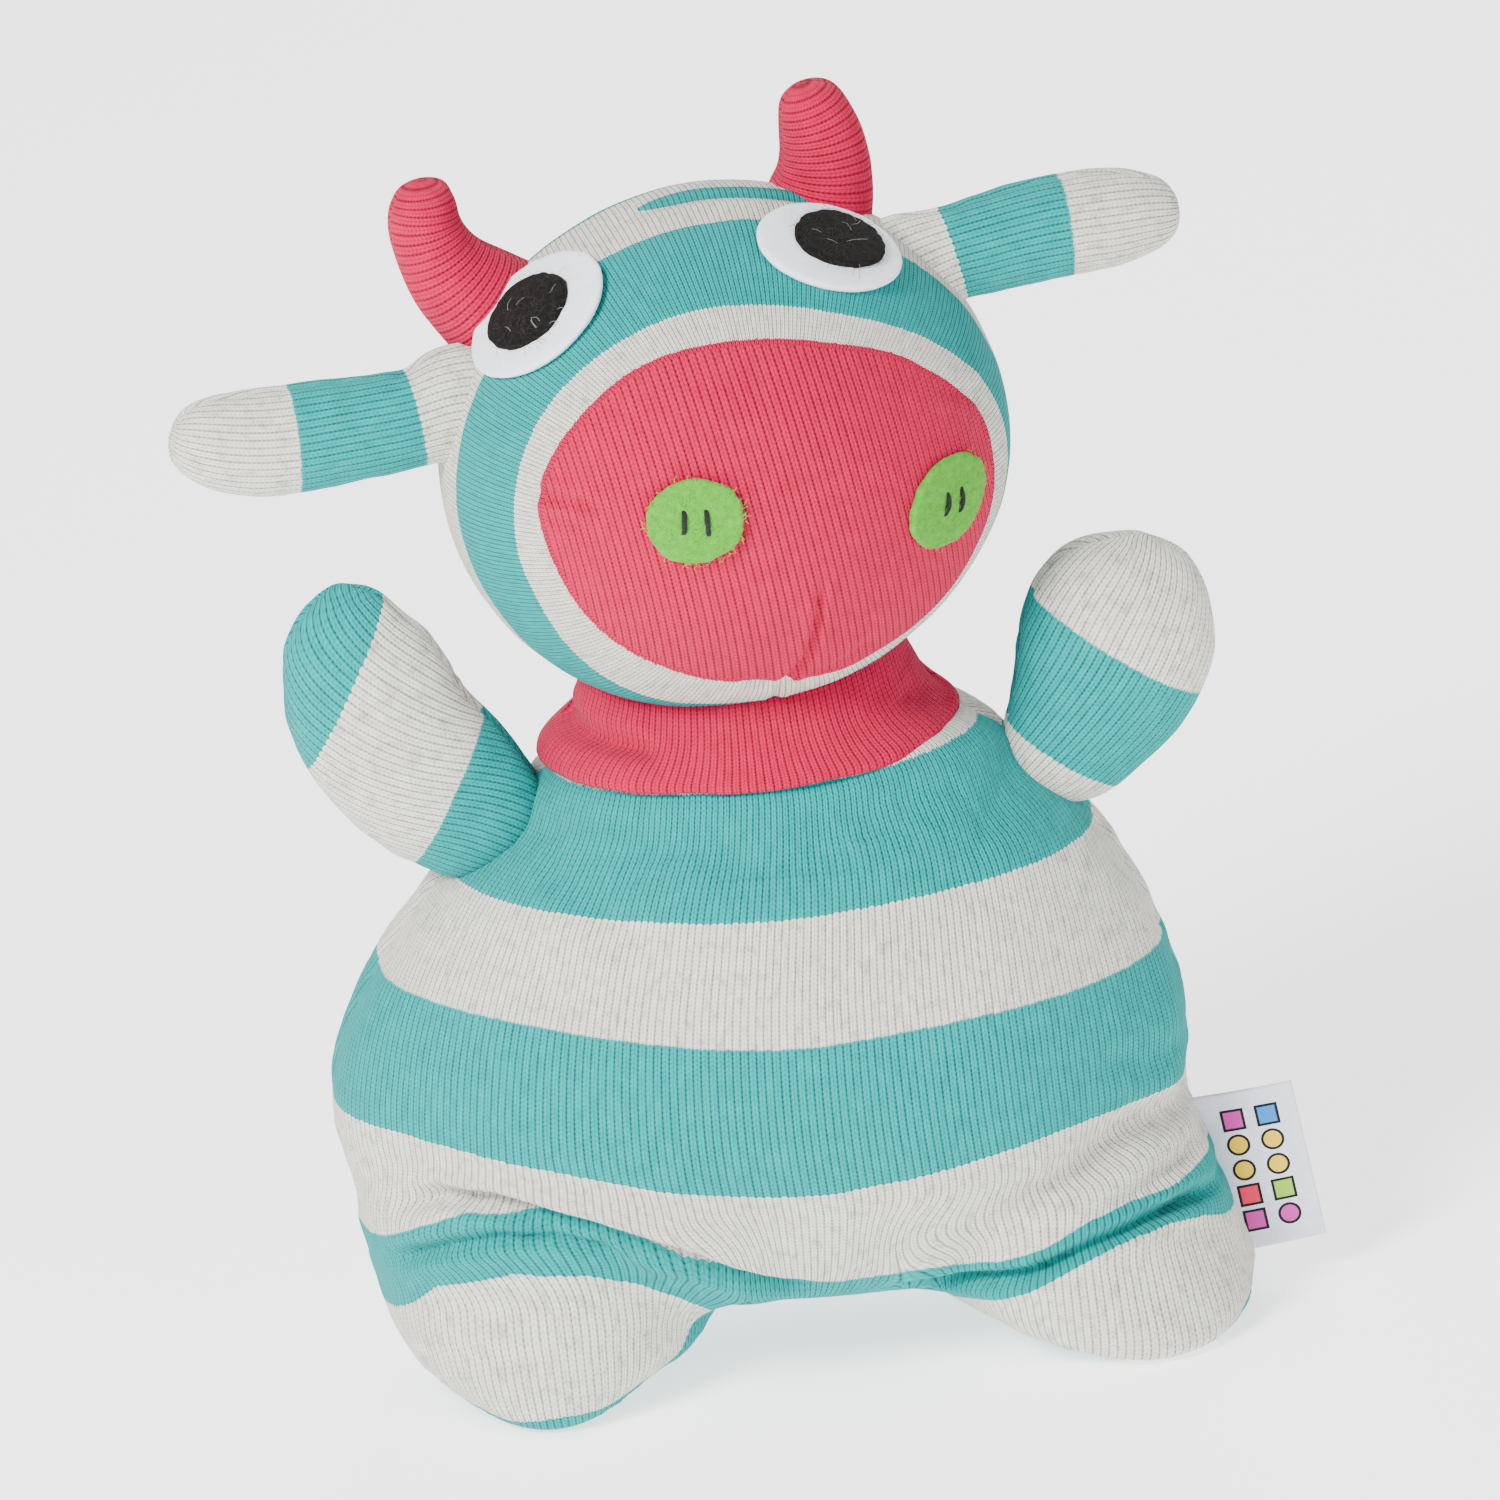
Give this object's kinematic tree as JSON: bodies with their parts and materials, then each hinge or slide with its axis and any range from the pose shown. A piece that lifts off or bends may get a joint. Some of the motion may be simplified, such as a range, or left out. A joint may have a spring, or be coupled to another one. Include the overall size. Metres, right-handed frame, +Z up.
{
  "type": "stuffed sock doll",
  "caption": "Striped stuffed cow doll sewn from rib-knit sock cloth, with horns, ears, felt eyes and nostrils, bending neck, arms and legs.",
  "frame": {"origin": "centre of the bounding box on the ground, between the two soles", "axes": "+Z up, the face looks along -Y, +X is the doll's own left"},
  "size_m": [0.2304, 0.1123, 0.2862],
  "materials": {
    "stripe_knit": "teal and heather-grey striped 1x1 rib knit, matt and slightly fuzzy",
    "pink_knit": "raspberry-pink 1x1 rib knit, matt and slightly fuzzy",
    "fibre_fill": "white polyester fibre fill",
    "white_felt": "pressed white craft felt",
    "black_felt": "fuzzy black craft felt",
    "green_felt": "fuzzy leaf-green craft felt",
    "black_thread": "black sewing thread",
    "label_ribbon": null
  },
  "bodies": {
    "torso": {"torso_front_panel": "stripe_knit", "torso_back_panel": "stripe_knit", "torso_stuffing": "fibre_fill"},
    "neck": {"neck_collar": "pink_knit", "neck_stuffing": "fibre_fill"},
    "head": {"head_cover": "stripe_knit", "snout_toe": "pink_knit", "head_stuffing": "fibre_fill", "left_horn_cover": "pink_knit", "left_horn_stuffing": "fibre_fill", "right_horn_cover": "pink_knit", "right_horn_stuffing": "fibre_fill", "left_eye_white_felt": "white_felt", "left_eye_pupil_felt": "black_felt", "left_nostril_felt": "green_felt", "left_nostril_stitches": "black_thread", "right_eye_white_felt": "white_felt", "right_eye_pupil_felt": "black_felt", "right_nostril_felt": "green_felt", "right_nostril_stitches": "black_thread"},
    "left_arm": {"left_arm_front_panel": "stripe_knit", "left_arm_back_panel": "stripe_knit", "left_arm_stuffing": "fibre_fill"},
    "left_ear": {"left_ear_front_panel": "stripe_knit", "left_ear_back_panel": "stripe_knit", "left_ear_stuffing": "fibre_fill"},
    "left_leg": {"left_leg_cover": "stripe_knit", "left_leg_stuffing": "fibre_fill"},
    "right_arm": {"right_arm_front_panel": "stripe_knit", "right_arm_back_panel": "stripe_knit", "right_arm_stuffing": "fibre_fill"},
    "right_ear": {"right_ear_front_panel": "stripe_knit", "right_ear_back_panel": "stripe_knit", "right_ear_stuffing": "fibre_fill"},
    "right_leg": {"right_leg_cover": "stripe_knit", "right_leg_stuffing": "fibre_fill"},
    "label": {"side_label": "label_ribbon"}
  },
  "joints": [
    {"name": "neck_turn", "type": "hinge", "parent": "torso", "child": "neck", "pos_m": [0, 0, 0.137], "axis": [0, 0, 1], "range_deg": [-20, 20], "stiffness_Nm_per_rad": 0.06},
    {"name": "head_nod", "type": "hinge", "parent": "neck", "child": "head", "pos_m": [0, 0.001, 0.15], "axis": [1, 0, 0], "range_deg": [-8, 8], "stiffness_Nm_per_rad": 0.16},
    {"name": "left_arm_swing", "type": "hinge", "parent": "torso", "child": "left_arm", "pos_m": [0.062, -0.002, 0.127], "axis": [0.8829, 0, -0.4695], "range_deg": [-20, 30], "stiffness_Nm_per_rad": 0.02},
    {"name": "right_arm_swing", "type": "hinge", "parent": "torso", "child": "right_arm", "pos_m": [-0.06, -0.005, 0.127], "axis": [0.9063, 0, 0.4226], "range_deg": [-20, 30], "stiffness_Nm_per_rad": 0.02},
    {"name": "left_ear_flap", "type": "hinge", "parent": "head", "child": "left_ear", "pos_m": [0.0539, 0.00954, 0.2474], "axis": [0.1564, -0.9877, 0], "range_deg": [-15, 15], "stiffness_Nm_per_rad": 0.005},
    {"name": "right_ear_flap", "type": "hinge", "parent": "head", "child": "right_ear", "pos_m": [-0.06578, -0.00942, 0.22428], "axis": [-0.1564, 0.9877, 0], "range_deg": [-15, 15], "stiffness_Nm_per_rad": 0.005},
    {"name": "left_leg_fold", "type": "hinge", "parent": "torso", "child": "left_leg", "pos_m": [0.058, 0, 0.042], "axis": [-1, 0, 0], "range_deg": [-12, 22], "stiffness_Nm_per_rad": 0.2},
    {"name": "right_leg_fold", "type": "hinge", "parent": "torso", "child": "right_leg", "pos_m": [-0.058, 0, 0.042], "axis": [-1, 0, 0], "range_deg": [-12, 22], "stiffness_Nm_per_rad": 0.2},
    {"name": "label_flap", "type": "hinge", "parent": "torso", "child": "label", "pos_m": [0.0902, 0, 0.028], "axis": [-0.1045, 0, 0.9945], "range_deg": [-50, 50], "stiffness_Nm_per_rad": 0.0002}
  ]
}
